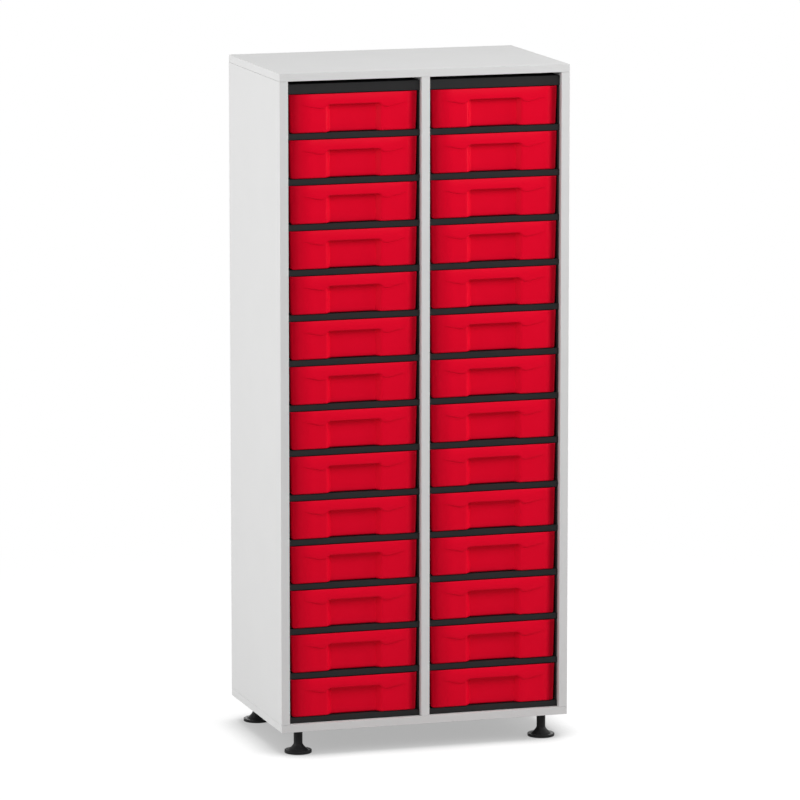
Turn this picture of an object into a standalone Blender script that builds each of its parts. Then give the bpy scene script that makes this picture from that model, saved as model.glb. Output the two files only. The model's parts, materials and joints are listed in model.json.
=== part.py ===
"""Drawer storage rack: a board carcass with two columns of pull-out trays, on levelling feet.

Metres, +Z up. The origin is on the floor under the middle of the rack, and the trays pull out towards -Y.
"""

import math

import bmesh
import bpy

# Fits
SEAT_GAP = 0.0003  # between pieces that rest on, in or against each other
CUT_SPARE = 0.005  # how far a cutter runs past the face that it opens
MERGE_DISTANCE = 1e-6  # points closer than this are one point
SMOOTH_ANGLE = math.radians(40)  # sharper edges stay crisp on round pieces

# Trays
ROWS = 14
TRAY_WIDTH = 0.305
TRAY_LENGTH = 0.403
TRAY_HEIGHT = 0.0891
TRAY_WALL = 0.0025
TRAY_TRAVEL = 0.300
SIDE_LEAN = 0.0025  # how far a side wall's foot stands inside its rim
FRONT_LEAN = 0.0015
REAR_LEAN = 0.0025
TRAY_CORNER_RADIUS = 0.007
TRAY_CORNER_STEPS = 3
BASE_EDGE_RADIUS = 0.004

# Grip pocket in a tray's front, open at the bottom
POCKET_MOUTH_WIDTH = 0.138
POCKET_BACK_WIDTH = 0.110
POCKET_DEPTH_AT_TOP = 0.0132  # from the rim's front
POCKET_DEPTH_AT_BASE = 0.0128
GRIP_LIP_HEIGHT = 0.0245  # the band of the front above the pocket

# Stop tab on a tray's rear rim
TAB_WIDTH = 0.040
TAB_HEIGHT = 0.005
TAB_THICKNESS = 0.0019
TAB_ROOT = 0.006  # how deep the tab is rooted in the rear wall

# Casings that the trays run in
CASINGS_PER_COLUMN = 6  # each holds the storeys of two or three trays
TRAY_SIDE_CLEARANCE = 0.0032
TRAY_TOP_CLEARANCE = 0.0008
TRAY_REAR_CLEARANCE = 0.001
CASING_WALL = 0.004
FLOOR_HEIGHT = 0.014
FLOOR_SKIN = 0.003
SKIRT = 0.003  # thickness of the floor's nose, rear edge and stop rib
RUNNER_HEIGHT = 0.001
RUNNER_WIDTH = 0.008
RUNNER_SPACING = 0.200
NOSE_TO_TRAY = 0.005  # the floor's nose stands this far behind the tray's front
NOSE_TO_WALL = 0.004  # the side walls start this far behind the nose
STOP_SPARE = 0.0005  # left between tab and stop rib at full travel
COVER_HEIGHT = 0.023

# Carcass boards
UPRIGHT_BOARD = 0.020  # side panels and divider
END_BOARD = 0.018  # top and bottom panels
BACK_THICKNESS = 0.008
BACK_INSET = 0.0085  # from the back panel's rear face to the rear edges
GROOVE_DEPTH = 0.006
TRAY_RECESS = 0.008  # the trays' fronts stand this far behind the front edges
HEADROOM = 0.0084  # between the covers and the top panel

# Levelling feet
FOOT_HEIGHT = 0.057
FOOT_RADIUS = 0.032
FOOT_EDGE = 0.004
FOOT_BEVEL = 0.001
FOOT_NECK_RADIUS = 0.0105
FOOT_FLARE_TOP = 0.024
FOOT_FLARE_STEPS = 4
FOOT_INSET_X = 0.051
FOOT_INSET_Y = 0.040
STUD_RADIUS = 0.005
STUD_IN_FOOT = 0.030
INSERT_WALL = 0.002
HOLE_ROOF = 0.0035  # board left above a foot's hole
STUD_SPARE = 0.001  # from the hole's end to the stud
INSERT_SPARE = 0.0025  # from the hole's end to the insert
ROUND_SIDES = 16

# Worked out from the sizes above
CASING_INNER_WIDTH = TRAY_WIDTH + 2 * TRAY_SIDE_CLEARANCE
CASING_WIDTH = CASING_INNER_WIDTH + 2 * CASING_WALL
BAY_WIDTH = CASING_WIDTH + 2 * SEAT_GAP
CARCASS_WIDTH = 2 * BAY_WIDTH + 3 * UPRIGHT_BOARD
COLUMN_X = (UPRIGHT_BOARD + BAY_WIDTH) / 2
COLUMNS = {"left": -COLUMN_X, "right": COLUMN_X}

TRAY_LIFT = FLOOR_HEIGHT + RUNNER_HEIGHT + SEAT_GAP  # from a storey's underside to its tray
ROW_PITCH = TRAY_LIFT + TRAY_HEIGHT + TRAY_TOP_CLEARANCE
STACK_HEIGHT = ROWS * ROW_PITCH
CARCASS_HEIGHT = 2 * END_BOARD + SEAT_GAP + STACK_HEIGHT + COVER_HEIGHT + HEADROOM
STACK_BASE = FOOT_HEIGHT + END_BOARD + SEAT_GAP
TOP = FOOT_HEIGHT + CARCASS_HEIGHT

TRAY_TO_BACK = TRAY_REAR_CLEARANCE + CASING_WALL + SEAT_GAP
CARCASS_DEPTH = TRAY_RECESS + TRAY_LENGTH + TRAY_TO_BACK + BACK_THICKNESS + BACK_INSET
FRONT = -CARCASS_DEPTH / 2
REAR = CARCASS_DEPTH / 2
TRAY_FRONT = FRONT + TRAY_RECESS
BACK_FACE = REAR - BACK_INSET - BACK_THICKNESS  # the back panel's front face
NOSE_FRONT = TRAY_FRONT + NOSE_TO_TRAY
CASING_REAR = BACK_FACE - SEAT_GAP
RIM_TO_TAB = TRAY_LENGTH - (TRAY_WALL + TAB_THICKNESS) / 2  # front rim to the tab, mid-wall at the rear
STOP_RIB_REAR = TRAY_FRONT + RIM_TO_TAB - TRAY_TRAVEL - STOP_SPARE

HOLE_END = FOOT_HEIGHT + END_BOARD - HOLE_ROOF
BORE_RADIUS = STUD_RADIUS + SEAT_GAP
INSERT_RADIUS = BORE_RADIUS + INSERT_WALL

GREY_BOARD = ("grey_board", (0.72, 0.73, 0.73), 0.45, 0.0)
RED_PLASTIC = ("red_plastic", (0.72, 0.004, 0.022), 0.35, 0.0)
BLACK_PLASTIC = ("black_plastic", (0.022, 0.022, 0.023), 0.5, 0.0)
STEEL = ("zinc_plated_steel", (0.55, 0.55, 0.56), 0.35, 1.0)


def clear_scene():
    for old in list(bpy.data.objects):
        bpy.data.objects.remove(old, do_unlink=True)


def material(finish):
    """The Principled material of a finish, made at its first use."""
    name, colour, roughness, metallic = finish
    found = bpy.data.materials.get(name)
    if found:
        return found
    made = bpy.data.materials.new(name)
    made.use_nodes = True
    shader = made.node_tree.nodes["Principled BSDF"]
    shader.inputs["Base Color"].default_value = (*colour, 1.0)
    shader.inputs["Roughness"].default_value = roughness
    shader.inputs["Metallic"].default_value = metallic
    return made


def mesh_from(bm, name):
    bmesh.ops.recalc_face_normals(bm, faces=bm.faces)
    mesh = bpy.data.meshes.new(name)
    bm.to_mesh(mesh)
    bm.free()
    return mesh


def box_mesh(low, high, name="box"):
    bm = bmesh.new()
    bmesh.ops.create_cube(bm, size=1.0)
    for vertex in bm.verts:
        vertex.co = [a + (c + 0.5) * (b - a) for a, b, c in zip(low, high, vertex.co)]
    return mesh_from(bm, name)


def loft_mesh(rings, name):
    """A closed skin over rings of equally many points, capped at the first and the last ring."""
    bm = bmesh.new()
    loops = [[bm.verts.new(point) for point in ring] for ring in rings]
    for lower, upper in zip(loops, loops[1:]):
        for i in range(len(lower)):
            bm.faces.new((lower[i - 1], lower[i], upper[i], upper[i - 1]))
    bm.faces.new(reversed(loops[0]))
    bm.faces.new(loops[-1])
    bmesh.ops.remove_doubles(bm, verts=bm.verts, dist=MERGE_DISTANCE)
    bmesh.ops.dissolve_degenerate(bm, edges=bm.edges, dist=MERGE_DISTANCE)
    return mesh_from(bm, name)


def circle(radius, z):
    turns = [2 * math.pi * i / ROUND_SIDES for i in range(ROUND_SIDES)]
    return [(radius * math.cos(a), radius * math.sin(a), z) for a in turns]


def turned_mesh(profile, name):
    """A round piece from (radius, height) pairs, outside first, then down any bore."""
    return loft_mesh([circle(radius, z) for radius, z in profile], name)


def place(name, mesh, finish, root, location=(0, 0, 0)):
    obj = bpy.data.objects.new(name, mesh)
    bpy.context.scene.collection.objects.link(obj)
    if not mesh.materials:
        mesh.materials.append(material(finish))
    obj.parent = root
    obj.location = location
    return obj


def helper(mesh, location=(0, 0, 0)):
    """A cutter or a shape to join, which isn't a piece of the rack."""
    obj = bpy.data.objects.new(mesh.name, mesh)
    bpy.context.scene.collection.objects.link(obj)
    obj.location = location
    obj.hide_render = True
    obj.display_type = "WIRE"
    return obj


def combine(obj, other, operation):
    modifier = obj.modifiers.new(operation.lower(), "BOOLEAN")
    modifier.operation = operation
    modifier.object = other


def combined_mesh(base, cutters, additions, name):
    """One mesh: the base mesh less the cutters, joined with the additions."""
    body = helper(base)
    others = [helper(mesh) for mesh in cutters + additions]
    for i, other in enumerate(others):
        combine(body, other, "DIFFERENCE" if i < len(cutters) else "UNION")
    bpy.context.view_layer.update()
    graph = bpy.context.evaluated_depsgraph_get()
    mesh = bpy.data.meshes.new_from_object(body.evaluated_get(graph))
    mesh.name = name
    for used in [body] + others:
        bpy.data.objects.remove(used, do_unlink=True)
    return mesh


def arc(centre, radius, start, steps):
    """Points on a quarter turn anticlockwise from an angle in degrees."""
    angles = [math.radians(start + 90 * i / steps) for i in range(steps + 1)]
    return [(centre[0] + radius * math.cos(a), centre[1] + radius * math.sin(a)) for a in angles]


def tray_ring(z, inset, pocket_wall=None):
    """A tray's outline at a height, taken in by inset. With pocket_wall, it goes round the grip pocket.

    The tray's own frame: Y from the rim's front to the rear, Z from the base.
    """
    lean = 1 - z / TRAY_HEIGHT
    half = TRAY_WIDTH / 2 - SIDE_LEAN * lean - inset
    front = FRONT_LEAN * lean + inset
    rear = TRAY_LENGTH - REAR_LEAN * lean - inset
    corner = TRAY_CORNER_RADIUS - inset
    wall = pocket_wall or 0
    mouth = POCKET_MOUTH_WIDTH / 2 + wall
    back = POCKET_BACK_WIDTH / 2 + wall
    depth = front
    if pocket_wall is not None:
        share = z / (TRAY_HEIGHT - GRIP_LIP_HEIGHT)
        depth = POCKET_DEPTH_AT_BASE + share * (POCKET_DEPTH_AT_TOP - POCKET_DEPTH_AT_BASE) + inset
    outline = arc((-half + corner, front + corner), corner, 180, TRAY_CORNER_STEPS)
    outline += [(-mouth, front), (-back, depth), (back, depth), (mouth, front)]
    outline += arc((half - corner, front + corner), corner, 270, TRAY_CORNER_STEPS)
    outline += arc((half - corner, rear - corner), corner, 0, TRAY_CORNER_STEPS)
    outline += arc((-half + corner, rear - corner), corner, 90, TRAY_CORNER_STEPS)
    return [(x, y, z) for x, y in outline]


def tray_mesh():
    """An open tray: outside from the base up, over the rim, and down the inside."""
    pocket_top = TRAY_HEIGHT - GRIP_LIP_HEIGHT
    half_bend = BASE_EDGE_RADIUS * (1 - math.sqrt(0.5))
    rings = [
        tray_ring(0, BASE_EDGE_RADIUS, 0),
        tray_ring(half_bend, half_bend, 0),
        tray_ring(BASE_EDGE_RADIUS, 0, 0),
        tray_ring(pocket_top, 0, 0),
        tray_ring(pocket_top, 0),
        tray_ring(TRAY_HEIGHT, 0),
        tray_ring(TRAY_HEIGHT, TRAY_WALL),
        tray_ring(pocket_top + TRAY_WALL, TRAY_WALL),
        tray_ring(pocket_top + TRAY_WALL, TRAY_WALL, TRAY_WALL),
        tray_ring(BASE_EDGE_RADIUS, TRAY_WALL, TRAY_WALL),
        tray_ring(TRAY_WALL, BASE_EDGE_RADIUS, TRAY_WALL),
    ]
    tab = box_mesh(
        (-TAB_WIDTH / 2, RIM_TO_TAB, TRAY_HEIGHT - TAB_ROOT),
        (TAB_WIDTH / 2, RIM_TO_TAB + TAB_THICKNESS, TRAY_HEIGHT + TAB_HEIGHT),
    )
    return combined_mesh(loft_mesh(rings, "tray_shell"), [], [tab], "tray")


def hollow_boxes(height):
    """The two hollows under a floor or cover, before and behind the stop rib that catches the tray's tab."""
    half = CASING_WIDTH / 2 - CASING_WALL
    top = height - FLOOR_SKIN
    spans = (
        (NOSE_FRONT + SKIRT, STOP_RIB_REAR - SKIRT),
        (STOP_RIB_REAR, CASING_REAR - SKIRT),
    )
    return [((-half, start, -CUT_SPARE), (half, end, top)) for start, end in spans]


def lifted(boxes, z):
    """Boxes, as pairs of corners, raised by z."""
    return [[(x, y, h + z) for x, y, h in corners] for corners in boxes]


def casing_mesh(storeys):
    """A casing's floors, side walls, rear wall and runners, from its own underside up."""
    half, inner = CASING_WIDTH / 2, CASING_INNER_WIDTH / 2
    height = storeys * ROW_PITCH - SEAT_GAP
    wall_front = NOSE_FRONT + NOSE_TO_WALL
    cuts, runners = [], []
    for storey in range(storeys):
        base = storey * ROW_PITCH
        floor = base + FLOOR_HEIGHT
        ceiling = base + ROW_PITCH if storey < storeys - 1 else height + CUT_SPARE
        bay = (-inner, wall_front - CUT_SPARE, floor), (inner, CASING_REAR - CASING_WALL, ceiling)
        wide = half + CUT_SPARE
        before_walls = (-wide, NOSE_FRONT - CUT_SPARE, floor), (wide, wall_front, ceiling)
        cuts += [bay, before_walls] + lifted(hollow_boxes(FLOOR_HEIGHT), base)
        for side in (-1, 1):
            middle = side * RUNNER_SPACING / 2
            runners.append((
                (middle - RUNNER_WIDTH / 2, wall_front, floor - FLOOR_SKIN / 2),
                (middle + RUNNER_WIDTH / 2, CASING_REAR - 2 * CASING_WALL, floor + RUNNER_HEIGHT),
            ))
    block = box_mesh((-half, NOSE_FRONT, 0), (half, CASING_REAR, height))
    cutters = [box_mesh(*corners) for corners in cuts]
    return combined_mesh(block, cutters, [box_mesh(*corners) for corners in runners], f"casing_{storeys}")


def cover_mesh():
    half = CASING_WIDTH / 2
    block = box_mesh((-half, NOSE_FRONT, 0), (half, CASING_REAR, COVER_HEIGHT))
    cutters = [box_mesh(*corners) for corners in hollow_boxes(COVER_HEIGHT)]
    return combined_mesh(block, cutters, [], "cover")


def casing_storeys():
    """How many storeys each casing of a column has, from the lowest: the first ones take the remainder."""
    share, more = divmod(ROWS, CASINGS_PER_COLUMN)
    return [share + (i < more) for i in range(CASINGS_PER_COLUMN)]


def add_columns(root):
    tray, cover = tray_mesh(), cover_mesh()
    casings = {storeys: casing_mesh(storeys) for storeys in sorted(set(casing_storeys()))}
    for side, x in COLUMNS.items():
        row = 0
        for number, storeys in enumerate(casing_storeys(), 1):
            z = STACK_BASE + row * ROW_PITCH
            place(f"casing_{side}_{number}", casings[storeys], BLACK_PLASTIC, root, (x, 0, z))
            row += storeys
        place(f"top_cover_{side}", cover, BLACK_PLASTIC, root, (x, 0, STACK_BASE + STACK_HEIGHT))
        for row in range(ROWS):
            z = STACK_BASE + row * ROW_PITCH + TRAY_LIFT
            place(f"tray_{side}_{row + 1:02d}", tray, RED_PLASTIC, root, (x, TRAY_FRONT, z))


def back_box(reach):
    """The back panel's corners, grown by reach on every side."""
    half = CARCASS_WIDTH / 2 - UPRIGHT_BOARD + GROOVE_DEPTH - SEAT_GAP
    low = (-half, BACK_FACE, FOOT_HEIGHT + END_BOARD - GROOVE_DEPTH + SEAT_GAP)
    high = (half, BACK_FACE + BACK_THICKNESS, TOP - END_BOARD + GROOVE_DEPTH - SEAT_GAP)
    return [value - reach for value in low], [value + reach for value in high]


def add_carcass(root):
    half = CARCASS_WIDTH / 2
    foot, head = STACK_BASE, TOP - END_BOARD - SEAT_GAP
    boards = {
        "left_side_panel": ((-half, FRONT, foot), (-half + UPRIGHT_BOARD, REAR, head)),
        "right_side_panel": ((half - UPRIGHT_BOARD, FRONT, foot), (half, REAR, head)),
        "top_panel": ((-half, FRONT, TOP - END_BOARD), (half, REAR, TOP)),
        "bottom_panel": ((-half, FRONT, FOOT_HEIGHT), (half, REAR, FOOT_HEIGHT + END_BOARD)),
    }
    groove = helper(box_mesh(*back_box(SEAT_GAP), "back_groove_cutter"))
    panels = {}
    for name, corners in boards.items():
        panels[name] = place(name, box_mesh(*corners, name), GREY_BOARD, root)
        combine(panels[name], groove, "DIFFERENCE")
    divider = ((-UPRIGHT_BOARD / 2, FRONT, foot), (UPRIGHT_BOARD / 2, BACK_FACE - SEAT_GAP, head))
    place("centre_divider", box_mesh(*divider, "centre_divider"), GREY_BOARD, root)
    place("back_panel", box_mesh(*back_box(0), "back_panel"), GREY_BOARD, root)
    return panels["bottom_panel"]


def foot_mesh():
    """A disc that flares into a round neck, bored from the top for its stud."""
    flare = []
    for i in range(FOOT_FLARE_STEPS + 1):
        turn = math.pi / 2 * i / FOOT_FLARE_STEPS
        radius = FOOT_NECK_RADIUS + (FOOT_RADIUS - FOOT_BEVEL - FOOT_NECK_RADIUS) * (1 - math.sin(turn))
        flare.append((radius, FOOT_EDGE + (FOOT_FLARE_TOP - FOOT_EDGE) * (1 - math.cos(turn))))
    neck_top = FOOT_HEIGHT - SEAT_GAP
    disc = [(FOOT_RADIUS - FOOT_BEVEL, 0), (FOOT_RADIUS, FOOT_BEVEL), (FOOT_RADIUS, FOOT_EDGE - FOOT_BEVEL)]
    neck = [(FOOT_NECK_RADIUS, neck_top), (BORE_RADIUS, neck_top), (BORE_RADIUS, neck_top - STUD_IN_FOOT)]
    return turned_mesh(disc + flare + neck, "foot")


def stud_mesh():
    foot_end = FOOT_HEIGHT - STUD_IN_FOOT
    return turned_mesh([(STUD_RADIUS, foot_end), (STUD_RADIUS, HOLE_END - STUD_SPARE)], "foot_stud")


def insert_mesh():
    """A threaded sleeve, level with the panel's underside."""
    low, high = FOOT_HEIGHT, HOLE_END - INSERT_SPARE
    outer = turned_mesh([(INSERT_RADIUS, low), (INSERT_RADIUS, high)], "insert_outside")
    bore = turned_mesh([(BORE_RADIUS, low - CUT_SPARE), (BORE_RADIUS, high + CUT_SPARE)], "insert_bore")
    return combined_mesh(outer, [bore], [], "foot_insert")


def add_feet(root, bottom_panel):
    foot, stud, insert = foot_mesh(), stud_mesh(), insert_mesh()
    hole_radius = INSERT_RADIUS + SEAT_GAP
    hole = turned_mesh([(hole_radius, FOOT_HEIGHT - CUT_SPARE), (hole_radius, HOLE_END)], "foot_hole_cutter")
    x, y = CARCASS_WIDTH / 2 - FOOT_INSET_X, CARCASS_DEPTH / 2 - FOOT_INSET_Y
    for end, foot_y in (("front", -y), ("rear", y)):
        for side, foot_x in (("left", -x), ("right", x)):
            at = (foot_x, foot_y, 0)
            place(f"foot_{end}_{side}", foot, BLACK_PLASTIC, root, at)
            place(f"foot_stud_{end}_{side}", stud, STEEL, root, at)
            place(f"foot_insert_{end}_{side}", insert, STEEL, root, at)
            combine(bottom_panel, helper(hole, at), "DIFFERENCE")


def shade_round_pieces():
    for mesh in bpy.data.meshes:
        if mesh.name in ("foot", "foot_stud", "foot_insert", "tray"):
            mesh.shade_smooth()
            mesh.set_sharp_from_angle(angle=SMOOTH_ANGLE)


def main():
    clear_scene()
    root = bpy.data.objects.new("drawer_rack", None)
    bpy.context.scene.collection.objects.link(root)
    bottom_panel = add_carcass(root)
    add_columns(root)
    add_feet(root, bottom_panel)
    shade_round_pieces()


main()
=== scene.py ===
"""Looks of the drawer storage rack: melamine boards, moulded trays and casings, levelling feet.

Metres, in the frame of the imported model: +Z up, the floor at Z 0, and the trays pull out towards -Y.
The sizes of the rack's pieces are written in millimetres, and MM brings them to metres.
"""

import json
import math

import bmesh
import bpy
from mathutils import Euler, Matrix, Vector

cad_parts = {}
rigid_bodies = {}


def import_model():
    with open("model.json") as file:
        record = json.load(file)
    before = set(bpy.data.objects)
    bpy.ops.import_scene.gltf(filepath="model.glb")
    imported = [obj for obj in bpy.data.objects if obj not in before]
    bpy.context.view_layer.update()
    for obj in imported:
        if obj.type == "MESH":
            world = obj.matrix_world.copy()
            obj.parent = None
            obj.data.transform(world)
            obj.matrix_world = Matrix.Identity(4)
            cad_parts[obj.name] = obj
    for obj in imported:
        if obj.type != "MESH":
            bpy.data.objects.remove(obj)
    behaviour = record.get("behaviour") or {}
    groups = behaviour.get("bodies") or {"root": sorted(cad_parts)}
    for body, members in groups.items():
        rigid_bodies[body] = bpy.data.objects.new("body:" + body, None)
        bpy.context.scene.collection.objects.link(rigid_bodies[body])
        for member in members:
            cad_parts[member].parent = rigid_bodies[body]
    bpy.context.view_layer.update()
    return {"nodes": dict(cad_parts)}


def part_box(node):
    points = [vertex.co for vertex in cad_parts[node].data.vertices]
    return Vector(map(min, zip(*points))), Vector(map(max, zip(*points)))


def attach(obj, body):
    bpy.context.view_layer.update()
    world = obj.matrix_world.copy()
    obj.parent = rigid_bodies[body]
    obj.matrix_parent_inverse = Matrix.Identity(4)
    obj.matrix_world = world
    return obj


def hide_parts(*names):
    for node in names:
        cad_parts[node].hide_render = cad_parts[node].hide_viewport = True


MM = 0.001
SIDES = ("left", "right")

# Camera, as the photograph was taken
VIEW_AZIMUTH = 17.17  # degrees to the left of straight ahead
VIEW_ELEVATION = 9.56
VIEW_DISTANCE = 13.85
VIEW_TARGET = (0.0028, -0.006, 0.7918)
VIEW_LENS = 264.5
VIEW_CLIP = 100.0

# Tray, in millimetres, in its own frame: X from the middle, Y from the rim's front, Z from the base
WALL = 2.5
SIDE_LEAN = 2.5
FRONT_LEAN = 1.5
REAR_LEAN = 2.5
CORNER = 7.0
BASE_EDGE = 4.0
RIM_OUTER_ROUND = 1.8
RIM_INNER_ROUND = 0.5
TAB_WIDTH = 40.0
TAB_HEIGHT = 5.0
TAB_THICKNESS = 1.9
TAB_ROOT = 6.0
TAB_EDGE = 0.4
POCKET_MOUTH = 66.0  # half widths
POCKET_BACK = 55.0
POCKET_MOUTH_ROUND = 5.0
POCKET_BACK_ROUND = 2.0
POCKET_DEPTH_TOP = 13.2
POCKET_DEPTH_BASE = 12.8
BAND_EDGE = ((60, 24.5), (73, 33.5), (82, 33.5), (123, 24.5))  # from the middle, and down from the rim
BAND_EDGE_ROUND = 4.0
BAND_PROUD = 2.0
BAND_FADE = (104.0, 130.0)  # the band runs out into the plain front here
BAND_TOP = (1.5, 14.0)  # and from the rim down it comes out between these drops
LIP_ROUND = 2.0  # at the band's lower edge
CEILING_ROUND = 3.0  # behind that edge, over the pocket
EDGE_SOFTNESS = 0.5  # the least height of these two roundings

# Points of the tray's skin: columns on the front, places round a ring, and rows from the base to the rim
POCKET_STATIONS = (0, 17, 34, 45, 51)  # on the pocket's back
FLANK_SHARES = (0.3, 0.5)  # on its flanks, from the back to the mouth
FRONT_STATIONS = (75, 79, 82, 86, 92, 98, 104, 110, 116, 122, 128, 131, 134, 137, 139.5, 142)  # beside it
ROUND_SHARES = (-0.5, -0.25, 0, 0.25, 0.5)  # across a rounding
CORNER_STEPS = 8
SIDE_SHARES = (0.25, 0.5, 0.75)  # from the front corner to the rear one
REAR_SHARES = (0.5, 0, -0.5)  # of the half width
EDGE_STEPS = 4
LOW_SHARES = (0.2, 0.4, 0.6, 0.8)  # from the base's edge to the rounding under the band
LIP_STEPS = 3
BAND_SHARES = (0.25, 0.5, 0.75, 1.0)  # from the lip to the rim
RIM_STEPS = 3

# How far the front's shading turns outward at its two ends: from the middle, and degrees
LEFT_BOW = ((98, 0), (110, 9), (120, 19), (130, 33), (140, 52), (150, 75))
RIGHT_BOW = ((125, 0), (130, 22), (134, 45), (138, 68), (142, 84), (150, 88))

# Casings, in millimetres
CASING_FLOOR = 14.0
CASING_SKIN = 3.0
CASING_WALL = 4.0
SKIRT = 3.0
NOSE_TO_WALL = 4.0
RUNNER_HEIGHT = 1.0
RUNNER_WIDTH = 8.0
RUNNER_SPACING = 200.0
STOP_TRAVEL = 300.5
CASING_EDGE = 0.8
SEAT_GAP = 0.3
CUT_SPARE = 5.0

# Boards, in millimetres
BOARDS = ("left_side_panel", "right_side_panel", "centre_divider", "top_panel", "bottom_panel", "back_panel")
BOARD_EDGE = 0.5
EDGE_BAND = 2.0
EDGE_BAND_BLEND = 0.1
GLUE_LINE = (0.05, 0.2)  # full and gone at these distances from its middle
WELD = 0.01

# Feet and studs, in millimetres
FOOT_RIM = 7.0
FOOT_RIM_ROUND = 1.2
FOOT_DISH = 0.3
FOOT_NECK = 10.4
FOOT_FLARE_BASE = 24.0  # radius at the disc
FOOT_FLARE_TOP = 23.0
FOOT_FLARE_CURVE = 1.6
FOOT_FLARE_STEPS = 12
FOOT_TOP_EDGE = 0.6
BORE = 5.3
STUD_IN_FOOT = 30.0
TURNED_SIDES = 64
THREAD_PITCH = 1.5
THREAD_DEPTH = 0.8
THREAD_ROWS = 4  # per turn
THREAD_SIDES = 32

SMOOTH_ANGLE = math.radians(35)
BEVEL_ANGLE = math.radians(40)
BEVEL_SEGMENTS = 2

# Colours as red, green and blue; a pair goes from the darker to the lighter patches
BOARD_FACE = ((0.70, 0.70, 0.698), (0.75, 0.75, 0.748))
BOARD_SPECKLE = (0.735, 0.735, 0.733)
BOARD_BAND = ((0.71, 0.71, 0.707), (0.745, 0.745, 0.742))
BOARD_GLUE = (0.63, 0.63, 0.628)
TRAY_RED = ((0.80, 0.0013, 0.021), (0.86, 0.0019, 0.026))
CASING_BLACK = (0.019, 0.019, 0.0195)
FOOT_BLACK = (0.012, 0.012, 0.0125)
BLACK_PATCHES = (0.85, 1.2)  # times a black
ZINC = ((0.50, 0.51, 0.53), (0.66, 0.65, 0.61))
GRAIN_SPAN = (0.3, 0.7)  # of a noise, from its smoothest to its roughest places
SEED_SPREAD = 40.0

# Stage, in metres
FLOOR_SIZE = 60.0
FLOOR_WHITE = (1.0, 2.4)  # the floor goes over into plain white between these distances
FLOOR_ALBEDO = 0.12
FLOOR_BOUNCE = 0.45  # its albedo for the light that it sends back to the rack
FLOOR_COVER = 0.125  # how near a piece has to be to lay the floor's painted shadow under it
FLOOR_COVER_RAYS = 16
FLOOR_SHADOW_TONES = ((0.0, 0.38), (0.5, 0.47), (0.84, 0.92))  # share of the sky left open, and the floor's glow there, darkened as painted shadow
WORLD_STRENGTH = 0.4
LAMP_AIM = (0, 0, 0.8)
LAMPS = (  # name, place, width and height, watts
    ("front_key", (0.83, -2.55, 3.05), (2.0, 2.0), 45),
    ("right_fill", (3.43, -0.6, 1.73), (1.6, 1.6), 70),
    ("left_fill", (-3.86, 0.0, 1.84), (2.0, 2.0), 75),
    ("left_front", (-3.09, -1.79, 2.1), (1.6, 1.6), 12),
    ("top_soft", (0.0, 0.0, 4.2), (2.4, 2.4), 9.5),
    ("rear_fill", (0.9, 3.6, 0.8), (2.0, 1.4), 32),
)


def link(obj):
    bpy.context.scene.collection.objects.link(obj)
    return obj


# Materials

def rgba(tone):
    return (*tone, 1.0)


def grey(level):
    return rgba((level, level, level))


class Nodes:
    """Short calls for the nodes that these materials use."""

    def __init__(self, tree):
        self.tree = tree

    def add(self, kind, **values):
        node = self.tree.nodes.new(kind)
        for key, value in values.items():
            setattr(node, key, value)
        return node

    def link(self, out, into):
        self.tree.links.new(out, into)

    def set_or_link(self, socket, value):
        if isinstance(value, bpy.types.NodeSocket):
            self.link(value, socket)
        else:
            socket.default_value = value

    def math(self, operation, *values):
        node = self.add("ShaderNodeMath", operation=operation)
        for socket, value in zip(node.inputs, values):
            self.set_or_link(socket, value)
        return node.outputs[0]

    def ramp(self, value, low, high, out_low=0.0, out_high=1.0):
        node = self.add("ShaderNodeMapRange", interpolation_type="SMOOTHSTEP")
        for socket, given in zip(node.inputs, (value, low, high, out_low, out_high)):
            self.set_or_link(socket, given)
        return node.outputs[0]

    def mix(self, factor, first, second):
        node = self.add("ShaderNodeMix", data_type="RGBA")
        self.set_or_link(node.inputs["Factor"], factor)
        self.set_or_link(node.inputs["A"], first)
        self.set_or_link(node.inputs["B"], second)
        return node.outputs["Result"]

    def mix_shader(self, factor, first, second):
        node = self.add("ShaderNodeMixShader")
        for socket, out in zip(node.inputs, (factor, first, second)):
            self.link(out, socket)
        return node.outputs[0]

    def noise(self, point, scale, detail, seed=None):
        node = self.add("ShaderNodeTexNoise", noise_dimensions="3D" if seed is None else "4D")
        self.link(point, node.inputs["Vector"])
        node.inputs["Scale"].default_value = scale
        node.inputs["Detail"].default_value = detail
        if seed is not None:
            self.link(seed, node.inputs["W"])
        return node.outputs["Fac"]

    def bump(self, height, distance, strength):
        node = self.add("ShaderNodeBump")
        node.inputs["Strength"].default_value = strength
        node.inputs["Distance"].default_value = distance
        self.link(height, node.inputs["Height"])
        return node.outputs["Normal"]

    def point(self):
        return self.add("ShaderNodeTexCoord").outputs["Object"]

    def object_seed(self):
        return self.math("MULTIPLY", self.add("ShaderNodeObjectInfo").outputs["Random"], SEED_SPREAD)


def new_material(name, specular, metallic=0.0):
    """A material, with its nodes and its shader's inputs."""
    material = bpy.data.materials.new(name)
    material.use_nodes = True
    inputs = material.node_tree.nodes["Principled BSDF"].inputs
    inputs["Metallic"].default_value = metallic
    inputs["Specular IOR Level"].default_value = specular
    return material, Nodes(material.node_tree), inputs


def add_grain(nodes, inputs, grain, roughness, depth, strength):
    """A roughness that goes between two values with a grain, and the relief of that grain."""
    nodes.link(nodes.ramp(grain, *GRAIN_SPAN, *roughness), inputs["Roughness"])
    nodes.link(nodes.bump(grain, depth, strength), inputs["Normal"])


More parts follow.
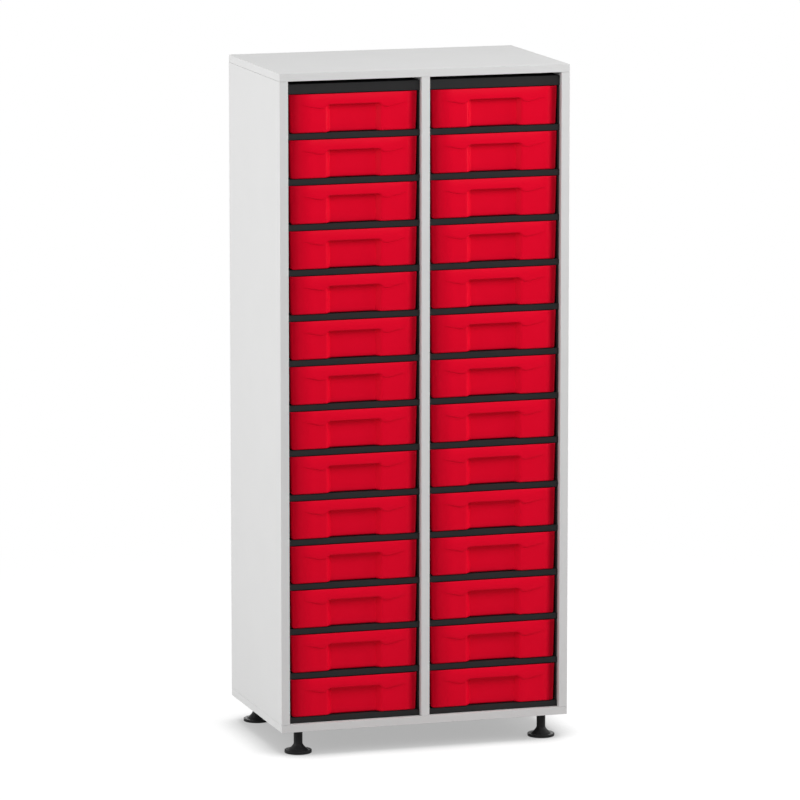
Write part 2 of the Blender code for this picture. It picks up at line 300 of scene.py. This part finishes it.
def board_material(name, banded_sides, half_width):
    """Light grey melamine: a fine pearl grain on the faces and a smoother edge band, with its glue line."""
    material, nodes, inputs = new_material(name, specular=0.15)
    point = nodes.point()
    place = nodes.add("ShaderNodeSeparateXYZ")
    nodes.link(point, place.inputs[0])
    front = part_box("left_side_panel")[0].y
    depth = nodes.math("SUBTRACT", place.outputs["Y"], front)
    if banded_sides:
        from_side = nodes.math("SUBTRACT", half_width, nodes.math("ABSOLUTE", place.outputs["X"]))
        depth = nodes.math("MINIMUM", depth, from_side)
    on_face = nodes.ramp(depth, (EDGE_BAND - EDGE_BAND_BLEND) * MM, (EDGE_BAND + EDGE_BAND_BLEND) * MM)
    from_line = nodes.math("ABSOLUTE", nodes.math("SUBTRACT", depth, EDGE_BAND * MM))
    off_line = nodes.ramp(from_line, GLUE_LINE[0] * MM, GLUE_LINE[1] * MM)
    clouds = nodes.noise(point, scale=9.0, detail=3.0)
    speckle = nodes.noise(point, scale=900.0, detail=2.0)
    face = nodes.mix(clouds, rgba(BOARD_FACE[0]), rgba(BOARD_FACE[1]))
    face = nodes.mix(nodes.ramp(speckle, low=0.35, high=0.65), face, rgba(BOARD_SPECKLE))
    band = nodes.mix(clouds, rgba(BOARD_BAND[0]), rgba(BOARD_BAND[1]))
    surface = nodes.mix(on_face, band, face)
    nodes.link(nodes.mix(off_line, rgba(BOARD_GLUE), surface), inputs["Base Color"])
    add_grain(nodes, inputs, speckle, roughness=(0.36, 0.46), depth=0.00003, strength=0.5)
    return material


def red_material():
    """Moulded red plastic: satin, with a fine spark-eroded grain and faint flow marks."""
    material, nodes, inputs = new_material("red_moulded_plastic", specular=0.05)
    point = nodes.point()
    flow = nodes.noise(point, scale=14.0, detail=2.0, seed=nodes.object_seed())
    grain = nodes.noise(point, scale=1600.0, detail=2.0)
    nodes.link(nodes.mix(flow, rgba(TRAY_RED[0]), rgba(TRAY_RED[1])), inputs["Base Color"])
    add_grain(nodes, inputs, grain, roughness=(0.33, 0.43), depth=0.00002, strength=0.4)
    return material


def black_material(name, tone):
    """Moulded black plastic with a fine matt grain and a little dust-grey unevenness."""
    material, nodes, inputs = new_material(name, specular=0.13)
    point = nodes.point()
    patches = nodes.noise(point, scale=30.0, detail=3.0, seed=nodes.object_seed())
    grain = nodes.noise(point, scale=1400.0, detail=2.0)
    dark, light = [rgba([share * value for value in tone]) for share in BLACK_PATCHES]
    nodes.link(nodes.mix(patches, dark, light), inputs["Base Color"])
    add_grain(nodes, inputs, grain, roughness=(0.42, 0.56), depth=0.00003, strength=0.5)
    return material


def steel_material():
    """Zinc plated steel: bright, with the soft mottling of the plating."""
    material, nodes, inputs = new_material("zinc_plated_steel", specular=0.5, metallic=1.0)
    mottle = nodes.noise(nodes.point(), scale=260.0, detail=3.0)
    nodes.link(nodes.mix(mottle, rgba(ZINC[0]), rgba(ZINC[1])), inputs["Base Color"])
    nodes.link(nodes.ramp(mottle, *GRAIN_SPAN, out_low=0.24, out_high=0.42), inputs["Roughness"])
    return material


# Mesh helpers

def mesh_from(bm, name):
    bmesh.ops.recalc_face_normals(bm, faces=bm.faces)
    mesh = bpy.data.meshes.new(name)
    bm.to_mesh(mesh)
    bm.free()
    mesh.shade_smooth()
    mesh.set_sharp_from_angle(angle=SMOOTH_ANGLE)
    return mesh


def loft(rings, name):
    """A closed skin over rings of equally many points, capped at the first and the last ring."""
    bm = bmesh.new()
    loops = [[bm.verts.new(point) for point in ring] for ring in rings]
    for lower, upper in zip(loops, loops[1:]):
        for i in range(len(lower)):
            bm.faces.new((lower[i - 1], lower[i], upper[i], upper[i - 1]))
    bm.faces.new(reversed(loops[0]))
    bm.faces.new(loops[-1])
    return mesh_from(bm, name)


def box_object(low, high, name):
    """A helper box between two corners given in millimetres."""
    bm = bmesh.new()
    bmesh.ops.create_cube(bm, size=1.0)
    for vertex in bm.verts:
        vertex.co = [(a + (c + 0.5) * (b - a)) * MM for a, b, c in zip(low, high, vertex.co)]
    return link(bpy.data.objects.new(name, mesh_from(bm, name)))


def round_edges(obj, width):
    bevel = obj.modifiers.new("round_edges", "BEVEL")
    bevel.width = width * MM
    bevel.segments = BEVEL_SEGMENTS
    bevel.limit_method = "ANGLE"
    bevel.angle_limit = BEVEL_ANGLE
    bevel.harden_normals = True
    bevel.use_clamp_overlap = True


def finished_mesh(obj, helpers, name):
    """The object's mesh with its modifiers applied; the object and its helpers are removed."""
    bpy.context.view_layer.update()
    graph = bpy.context.evaluated_depsgraph_get()
    mesh = bpy.data.meshes.new_from_object(obj.evaluated_get(graph))
    mesh.name = name
    for used in [obj] + helpers:
        bpy.data.objects.remove(used, do_unlink=True)
    return mesh


def combine(obj, other, operation):
    modifier = obj.modifiers.new(operation.lower(), "BOOLEAN")
    modifier.operation = operation
    modifier.object = other


def rounding(steps):
    """Points on a rounded edge of radius 1, as distances from its side and from its base."""
    turns = [math.pi / 2 * step / steps for step in range(steps + 1)]
    return [(1 - math.sin(turn), 1 - math.cos(turn)) for turn in turns]


def arc(centre, radius, start, steps):
    """Points of a quarter circle from the angle start, in degrees."""
    angles = [math.radians(start + 90 * i / steps) for i in range(steps + 1)]
    return [(centre[0] + radius * math.cos(a), centre[1] + radius * math.sin(a)) for a in angles]


def smooth(value, low, high):
    """0 below low, 1 above high, and a soft step between."""
    share = min(1.0, max(0.0, (value - low) / (high - low)))
    return share * share * (3 - 2 * share)


def soft_clamp(value, low_soft, high_soft):
    """value held between 0 and 1, with its two kinks rounded over a width of twice their softness."""
    for edge, sign, soft in ((0, 1, low_soft), (1, -1, high_soft)):
        gap = sign * (value - edge)
        if gap <= -soft:
            value = edge
        elif gap < soft:
            value = edge + sign * (gap + soft) ** 2 / (4 * soft)
    return value


def along(points, x):
    """The height at x of a line through points, level before the first and after the last one."""
    if x <= points[0][0]:
        return points[0][1]
    for (x0, y0), (x1, y1) in zip(points, points[1:]):
        if x <= x1:
            return y0 + (y1 - y0) * (x - x0) / (x1 - x0)
    return points[-1][1]


def piece(name, mesh, material, body, slot, location, *replaced):
    """A piece of the rack that rides with a body, in place of the solids of some nodes."""
    obj = link(bpy.data.objects.new(name, mesh))
    if not mesh.materials:
        mesh.materials.append(material)
    obj.location = location
    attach(obj, body)
    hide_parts(*replaced)


# Trays

def front_columns():
    """Where the columns of points on a tray's front stand, from left to right."""
    half = list(POCKET_STATIONS)
    half += [POCKET_BACK + POCKET_BACK_ROUND * share for share in ROUND_SHARES]
    half += [POCKET_BACK + (POCKET_MOUTH - POCKET_BACK) * share for share in FLANK_SHARES]
    half += [POCKET_MOUTH + POCKET_MOUTH_ROUND * share for share in ROUND_SHARES]
    half += FRONT_STATIONS
    return [-x for x in reversed(half[1:])] + half


def edge_rounding(radius, step):
    """Depth and height of a rounding at the band's edge, which takes at most half of the step there."""
    across = min(radius, step / 2)
    return across, max(across, EDGE_SOFTNESS)


class TraySkin:
    """The outside or the inside of a tray: rings of points from its base up to its rim, in millimetres."""

    def __init__(self, node, inner):
        low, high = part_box(node)
        self.half = (high.x - low.x) / 2 / MM
        self.length = (high.y - low.y) / MM
        self.height = (high.z - low.z) / MM - TAB_HEIGHT
        self.inner = inner
        self.wall = WALL if inner else 0.0

    def lean(self, z):
        """The share of the full lean: 1 at the base, 0 at the rim."""
        return 1 - z / self.height

    def edge(self, x):
        """Height of the raised band's lower edge: level over the pocket, then down and up again as a wing."""
        samples = [abs(x) + BAND_EDGE_ROUND * share for share in ROUND_SHARES]
        drop = sum(along(BAND_EDGE, at) for at in samples) / len(samples)
        return self.height - drop + self.wall

    def pocket_depth(self, x, z):
        """How far the pocket's back or flank lies behind the plain front; 0 beside the pocket."""
        top = self.height - BAND_EDGE[0][1]
        depth = POCKET_DEPTH_BASE + (POCKET_DEPTH_TOP - POCKET_DEPTH_BASE) * z / top
        run = POCKET_MOUTH - POCKET_BACK
        slope = (POCKET_MOUTH - x) / run
        share = soft_clamp(slope, POCKET_MOUTH_ROUND / run / 2, POCKET_BACK_ROUND / run / 2)
        return (depth - FRONT_LEAN * self.lean(z)) * share

    def plain_front(self, z, inset):
        return FRONT_LEAN * self.lean(z) + inset

    def low_front(self, x, z, inset):
        """The front below the band, in the pocket and beside it."""
        return self.plain_front(z, inset) + self.pocket_depth(max(0.0, abs(x) - self.wall), z)

    def band_front(self, x, z):
        """The front from the band's edge up; only the outside has the band."""
        proud = 0.0
        if not self.inner:
            fade = 1 - smooth(abs(x), *BAND_FADE)
            proud = BAND_PROUD * fade * smooth(self.height - z, *BAND_TOP)
        return self.plain_front(z, self.wall) - proud

    def column(self, x):
        """The front's points at x from the base to the rim: Y, Z, and how far their ring is drawn in."""
        wall = self.wall
        base_round = BASE_EDGE - wall
        rows = []
        for side, up in rounding(EDGE_STEPS):
            inset, z = wall + base_round * side, wall + base_round * up
            rows.append((self.low_front(x, z, inset), z, inset))
        edge = self.edge(x)
        back, front = self.low_front(x, edge, wall), self.band_front(x, edge)
        across, tall = edge_rounding(CEILING_ROUND, back - front)
        for share in LOW_SHARES:
            z = BASE_EDGE + share * (edge - tall - BASE_EDGE)
            rows.append((self.low_front(x, z, wall), z, wall))
        for side, up in rounding(EDGE_STEPS):
            rows.append((back - across * up, edge - tall * side, wall))
        across, tall = edge_rounding(LIP_ROUND, back - front)
        for side, up in rounding(LIP_STEPS):
            rows.append((front + across * side, edge + tall * up, wall))
        rim_round = RIM_INNER_ROUND if self.inner else RIM_OUTER_ROUND
        band_start, band_end = edge + tall, self.height - rim_round
        for share in BAND_SHARES:
            z = band_start + share * (band_end - band_start)
            rows.append((self.band_front(x, z), z, wall))
        for side, up in rounding(RIM_STEPS)[1:]:
            inset = wall - rim_round * up if self.inner else wall + rim_round * up
            z = self.height - rim_round * side
            rows.append((self.plain_front(z, inset), z, inset))
        return rows

    def ring(self, front_points, z, inset):
        """One ring, in metres: the front's points, and a level line round the other three sides."""
        lean = self.lean(z)
        half = self.half - SIDE_LEAN * lean - inset
        front = self.plain_front(z, inset)
        rear = self.length - REAR_LEAN * lean - inset
        corner = CORNER - inset
        start, run = front + corner, rear - front - 2 * corner
        before = arc((-half + corner, start), corner, 180, CORNER_STEPS)
        after = arc((half - corner, start), corner, 270, CORNER_STEPS)
        after += [(half, start + run * share) for share in SIDE_SHARES]
        after += arc((half - corner, rear - corner), corner, 0, CORNER_STEPS)
        after += [(half * share, rear) for share in REAR_SHARES]
        after += arc((-half + corner, rear - corner), corner, 90, CORNER_STEPS)
        after += [(-half, start + run * share) for share in reversed(SIDE_SHARES)]
        points = [(x, y, z) for x, y in before] + front_points + [(x, y, z) for x, y in after]
        return [[value * MM for value in point] for point in points]

    def rings(self):
        places = front_columns()
        rings = []
        for row in zip(*[self.column(x) for x in places]):
            front_points = [(x, y, z) for x, (y, z, _) in zip(places, row)]
            _, level, inset = row[-1]
            rings.append(self.ring(front_points, level, inset))
        return rings


def shade_bowed(mesh):
    """Turns the front's normals outward towards its ends, so that the flat front shades as a bowed one."""
    normals = [Vector(corner.vector) for corner in mesh.corner_normals]
    for loop, normal in zip(mesh.loops, normals):
        x, y, _ = mesh.vertices[loop.vertex_index].co / MM
        bow = LEFT_BOW if x < 0 else RIGHT_BOW
        if normal.y >= 0 or y > FRONT_LEAN + CORNER or abs(x) < bow[0][0]:
            continue
        side = math.copysign(1, x)
        own_turn = math.degrees(math.atan2(side * normal.x, -normal.y))
        more = max(0, along(bow, abs(x)) - own_turn)
        normal.rotate(Euler((0, 0, side * math.radians(more))))
    mesh.normals_split_custom_set(normals)


def tray_mesh(node):
    outside, inside = TraySkin(node, inner=False), TraySkin(node, inner=True)
    rings = outside.rings() + inside.rings()[::-1]
    shell = link(bpy.data.objects.new("tray_shell", loft(rings, "tray_shell")))
    tab_front = outside.length - (WALL + TAB_THICKNESS) / 2
    tab = box_object(
        (-TAB_WIDTH / 2, tab_front, outside.height - TAB_ROOT),
        (TAB_WIDTH / 2, tab_front + TAB_THICKNESS, outside.height + TAB_HEIGHT),
        "tray_tab",
    )
    round_edges(tab, TAB_EDGE)
    combine(shell, tab, "UNION")
    mesh = finished_mesh(shell, [tab], "tray")
    shade_bowed(mesh)
    return mesh


def add_trays(material):
    rows = sum(name.startswith("tray_left_") for name in frame["nodes"])
    mesh = tray_mesh("tray_left_01")
    for side in SIDES:
        for row in range(1, rows + 1):
            node = f"tray_{side}_{row:02d}"
            low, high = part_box(node)
            at = ((low.x + high.x) / 2, low.y, low.z)
            piece(f"drawer_{side}_{row:02d}", mesh, material, node, "red_plastic", at, node)


# Casings and covers

def casing_boxes(half, front, rear, height, floor):
    """Cutters of a one-tray casing, or with floor equal to height of a cover, in millimetres."""
    inner = half - CASING_WALL
    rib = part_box("tray_left_01")[1].y / MM - STOP_TRAVEL - (WALL - TAB_THICKNESS) / 2 - TAB_THICKNESS
    top = floor - CASING_SKIN
    cuts = [
        ((-inner, front + SKIRT, -CUT_SPARE), (inner, rib - SKIRT, top)),
        ((-inner, rib, -CUT_SPARE), (inner, rear - SKIRT, top)),
    ]
    if floor < height:
        wall_front = front + NOSE_TO_WALL
        wide, high = half + CUT_SPARE, height + CUT_SPARE
        cuts.append(((-inner, wall_front - CUT_SPARE, floor), (inner, rear - CASING_WALL, high)))
        cuts.append(((-wide, front - CUT_SPARE, floor), (wide, wall_front, high)))
    return cuts


def casing_mesh(half, front, rear, height, floor, name):
    block = box_object((-half, front, 0), (half, rear, height), name)
    cuts = casing_boxes(half, front, rear, height, floor)
    cutters = [box_object(low, high, "cutter") for low, high in cuts]
    for cutter in cutters:
        combine(block, cutter, "DIFFERENCE")
    runners = []
    if floor < height:
        for side in (-1, 1):
            middle = side * RUNNER_SPACING / 2
            low = (middle - RUNNER_WIDTH / 2, front + NOSE_TO_WALL, floor - CASING_SKIN / 2)
            high = (middle + RUNNER_WIDTH / 2, rear - 2 * CASING_WALL, floor + RUNNER_HEIGHT)
            runners.append(box_object(low, high, "runner"))
            combine(block, runners[-1], "UNION")
    round_edges(block, CASING_EDGE)
    return finished_mesh(block, cutters + runners, name)


def add_casings(material):
    """One moulding for each tray, and a cover on each stack."""
    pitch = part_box("tray_left_02")[0].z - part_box("tray_left_01")[0].z
    low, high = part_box("casing_left_1")
    half, front, rear = (high.x - low.x) / 2 / MM, low.y / MM, high.y / MM
    casing = casing_mesh(half, front, rear, pitch / MM - SEAT_GAP, CASING_FLOOR, "casing")
    low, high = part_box("top_cover_left")
    tall = (high.z - low.z) / MM
    cover = casing_mesh(half, front, rear, tall, tall, "cover")
    for side in SIDES:
        row = 0
        for node in sorted(name for name in frame["nodes"] if name.startswith(f"casing_{side}_")):
            low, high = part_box(node)
            middle = (low.x + high.x) / 2
            for storey in range(round((high.z - low.z) / pitch)):
                row += 1
                at = (middle, 0, low.z + storey * pitch)
                name = f"tray_casing_{side}_{row:02d}"
                piece(name, casing, material, "rack", "black_plastic", at, node)
        node = f"top_cover_{side}"
        low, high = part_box(node)
        at = ((low.x + high.x) / 2, 0, low.z)
        piece(f"stack_cover_{side}", cover, material, "rack", "black_plastic", at, node)


# Boards

def finish_boards():
    """The boards keep their solids, with softened edges."""
    half_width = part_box("top_panel")[1].x
    sides = board_material("melamine_upright", False, half_width)
    ends = board_material("melamine_top_and_bottom", True, half_width)
    materials = {"top_panel": ends, "bottom_panel": ends}
    for node in BOARDS:
        obj = frame["nodes"][node]
        weld = obj.modifiers.new("weld", "WELD")
        weld.merge_threshold = WELD * MM
        round_edges(obj, BOARD_EDGE)
        obj.data.materials.clear()
        obj.data.materials.append(materials.get(node, sides))


# Feet

def turned(profile, name):
    """A round piece from (radius, height) pairs in millimetres."""
    turns = [2 * math.pi * i / TURNED_SIDES for i in range(TURNED_SIDES)]
    rings = [[(r * math.cos(a) * MM, r * math.sin(a) * MM, z * MM) for a in turns] for r, z in profile]
    return loft(rings, name)


def foot_mesh(low, high):
    radius, height = (high.x - low.x) / 2 / MM, (high.z - low.z) / MM
    rim = [(FOOT_RIM_ROUND * side, FOOT_RIM_ROUND * up) for side, up in rounding(EDGE_STEPS)]
    profile = [(radius - side, up) for side, up in rim]
    profile += [(radius - up, FOOT_RIM - side) for side, up in rim]
    disc_top = FOOT_RIM - FOOT_DISH
    for step in range(FOOT_FLARE_STEPS + 1):
        share = 1 - step / FOOT_FLARE_STEPS
        r = FOOT_NECK + (FOOT_FLARE_BASE - FOOT_NECK) * share ** FOOT_FLARE_CURVE
        profile.append((r, FOOT_FLARE_TOP - (FOOT_FLARE_TOP - disc_top) * share))
    profile += [(FOOT_NECK, height - FOOT_TOP_EDGE), (FOOT_NECK - FOOT_TOP_EDGE, height)]
    profile += [(BORE, height), (BORE, height - STUD_IN_FOOT)]
    return turned(profile, "levelling_foot")


def stud_mesh(low, high):
    """A threaded rod: its radius follows the thread's flanks round and up."""
    radius, length = (high.x - low.x) / 2 / MM, (high.z - low.z) / MM
    count = round(length / THREAD_PITCH * THREAD_ROWS)
    rings = []
    for row in range(count + 1):
        z = length * row / count
        ring = []
        for side in range(THREAD_SIDES):
            phase = (z / THREAD_PITCH - side / THREAD_SIDES) % 1.0
            r = radius - THREAD_DEPTH * abs(2 * phase - 1)
            angle = 2 * math.pi * side / THREAD_SIDES
            ring.append((r * math.cos(angle) * MM, r * math.sin(angle) * MM, z * MM))
        rings.append(ring)
    return loft(rings, "threaded_stud")


def add_feet(plastic, steel):
    foot = foot_mesh(*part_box("foot_front_left"))
    stud = stud_mesh(*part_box("foot_stud_front_left"))
    for end in ("front", "rear"):
        for side in SIDES:
            place = f"{end}_{side}"
            low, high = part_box(f"foot_{place}")
            at = ((low.x + high.x) / 2, (low.y + high.y) / 2, low.z)
            body = f"foot_{place}"
            piece(f"levelling_foot_{place}", foot, plastic, body, "black_plastic", at, body)
            at = (at[0], at[1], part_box(f"foot_stud_{place}")[0].z)
            piece(f"threaded_stud_{place}", stud, steel, body, "zinc_plated_steel", at, f"foot_stud_{place}")
            insert = frame["nodes"][f"foot_insert_{place}"]
            insert.data.materials.clear()
            insert.data.materials.append(steel)


# Stage

def seen_directly(nodes):
    """1 for rays that show the background: from the camera, from gloss and through glass."""
    path = nodes.add("ShaderNodeLightPath").outputs
    seen = nodes.math("MAXIMUM", path["Is Camera Ray"], path["Is Glossy Ray"])
    return nodes.math("MAXIMUM", seen, path["Is Transmission Ray"])


def painted_floor_shadow(nodes):
    """Painted shadow: the floor's glow, darker where pieces stand close over it."""
    cover = nodes.add("ShaderNodeAmbientOcclusion", samples=FLOOR_COVER_RAYS)
    cover.inputs["Distance"].default_value = FLOOR_COVER
    tone = nodes.add("ShaderNodeValToRGB")
    nodes.link(cover.outputs["AO"], tone.inputs[0])
    stops = tone.color_ramp.elements
    while len(stops) < len(FLOOR_SHADOW_TONES):
        stops.new(0.5)
    for stop, (share, level) in zip(stops, FLOOR_SHADOW_TONES):
        stop.position = share
        stop.color = grey(level)
    return tone.outputs["Color"]


def floor_material():
    """A white floor that keeps a faint real shadow, with a painted shadow near the rack, and turns plain
    white further out.
    """
    material = bpy.data.materials.new("studio_floor")
    material.use_nodes = True
    tree = material.node_tree
    nodes = Nodes(tree)
    tree.nodes.remove(tree.nodes["Principled BSDF"])
    surface, bounce = [nodes.add("ShaderNodeBsdfDiffuse") for _ in range(2)]
    surface.inputs["Color"].default_value = grey(FLOOR_ALBEDO)
    bounce.inputs["Color"].default_value = grey(FLOOR_BOUNCE)
    painted_shadow_glow, white = [nodes.add("ShaderNodeEmission") for _ in range(2)]
    # the glow's colour paints the shadow under the rack
    nodes.link(painted_floor_shadow(nodes), painted_shadow_glow.inputs["Color"])
    near = nodes.add("ShaderNodeAddShader")
    nodes.link(surface.outputs[0], near.inputs[0])
    nodes.link(painted_shadow_glow.outputs[0], near.inputs[1])
    distance = nodes.add("ShaderNodeVectorMath", operation="LENGTH")
    nodes.link(nodes.point(), distance.inputs[0])
    far = nodes.ramp(distance.outputs["Value"], *FLOOR_WHITE)
    shown = nodes.mix_shader(far, near.outputs[0], white.outputs[0])
    floor = nodes.mix_shader(seen_directly(nodes), bounce.outputs[0], shown)
    nodes.link(floor, tree.nodes["Material Output"].inputs["Surface"])
    return material


def add_floor():
    bm = bmesh.new()
    bmesh.ops.create_grid(bm, x_segments=1, y_segments=1, size=FLOOR_SIZE / 2)
    floor = link(bpy.data.objects.new("studio_floor", mesh_from(bm, "studio_floor")))
    floor.data.materials.append(floor_material())


def add_world():
    world = bpy.data.worlds.new("studio")
    bpy.context.scene.world = world
    world.use_nodes = True
    nodes = Nodes(world.node_tree)
    background = world.node_tree.nodes["Background"]
    background.inputs["Color"].default_value = grey(1.0)
    strength = nodes.math("MAXIMUM", seen_directly(nodes), WORLD_STRENGTH)
    nodes.link(strength, background.inputs["Strength"])


def add_lights():
    for name, place, size, watts in LAMPS:
        data = bpy.data.lights.new(name, "AREA")
        data.shape = "RECTANGLE"
        data.size, data.size_y = size
        data.energy = watts
        lamp = link(bpy.data.objects.new(name, data))
        lamp.location = place
        lamp.rotation_euler = (Vector(LAMP_AIM) - Vector(place)).to_track_quat("-Z", "Y").to_euler()


def add_camera():
    turn, tilt = math.radians(VIEW_AZIMUTH), math.radians(VIEW_ELEVATION)
    ahead = Vector((math.sin(turn) * math.cos(tilt), math.cos(turn) * math.cos(tilt), -math.sin(tilt)))
    data = bpy.data.cameras.new("camera")
    data.lens = VIEW_LENS
    data.clip_end = VIEW_CLIP
    camera = link(bpy.data.objects.new("camera", data))
    camera.location = Vector(VIEW_TARGET) - VIEW_DISTANCE * ahead
    camera.rotation_euler = (math.pi / 2 - tilt, 0, -turn)
    bpy.context.scene.camera = camera


for old in list(bpy.data.objects):
    bpy.data.objects.remove(old, do_unlink=True)
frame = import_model()
bpy.context.scene.view_settings.view_transform = "Standard"

add_camera()
finish_boards()
add_casings(black_material("black_moulded_plastic", CASING_BLACK))
add_trays(red_material())
add_feet(black_material("black_foot_plastic", FOOT_BLACK), steel_material())
add_floor()
add_world()
add_lights()
